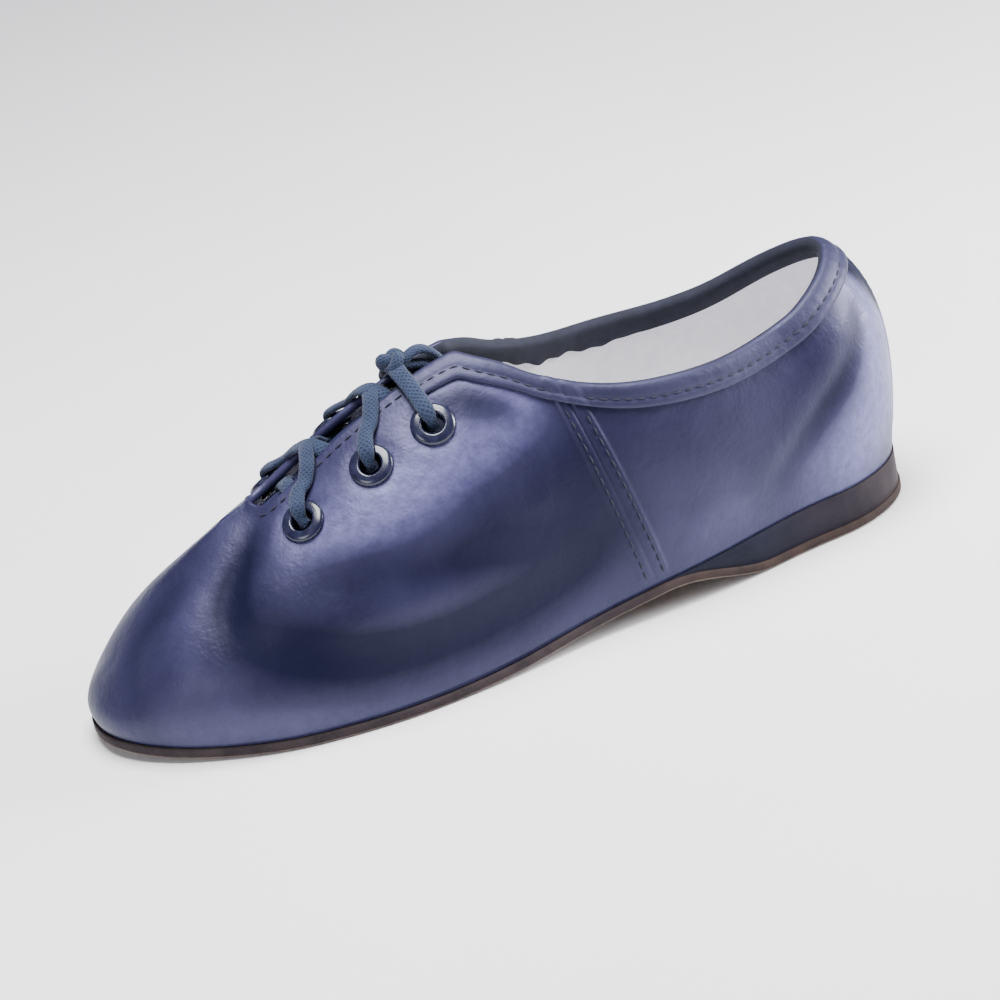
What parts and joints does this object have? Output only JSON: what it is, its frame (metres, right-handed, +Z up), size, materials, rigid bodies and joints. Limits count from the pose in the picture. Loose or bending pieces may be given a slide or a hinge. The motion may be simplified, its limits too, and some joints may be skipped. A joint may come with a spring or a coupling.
{
  "type": "jazz shoe",
  "caption": "Low lace-up jazz shoe in soft dark leather with a thin sole, a low wedge heel, a bound collar and tucked laces.",
  "frame": {"origin": "on the floor, under the middle of the shoe's box", "axes": "+Z up, the toe to -X, the outer side of the left foot to -Y"},
  "size_m": [0.1916, 0.0646, 0.0681],
  "materials": {
    "upper_leather": "satin",
    "binding_leather": "satin",
    "tongue_leather": "satin",
    "insole_fabric": "matte",
    "sole_suede": "matte",
    "heel_rubber": "matte",
    "eyelet_metal": "gloss",
    "lace_cotton": "matte"
  },
  "bodies": {
    "root": {"upper": "upper_leather", "collar_binding": "binding_leather", "tongue": "tongue_leather", "insole": "insole_fabric", "outsole": "sole_suede", "heel_wedge": "heel_rubber", "eyelet_outer_1": "eyelet_metal", "eyelet_outer_2": "eyelet_metal", "eyelet_outer_3": "eyelet_metal", "eyelet_inner_1": "eyelet_metal", "eyelet_inner_2": "eyelet_metal", "eyelet_inner_3": "eyelet_metal", "lace_crossings": "lace_cotton", "lace_knot": "lace_cotton", "lace_end_outer": "lace_cotton", "lace_end_inner": "lace_cotton"}
  },
  "joints": []
}
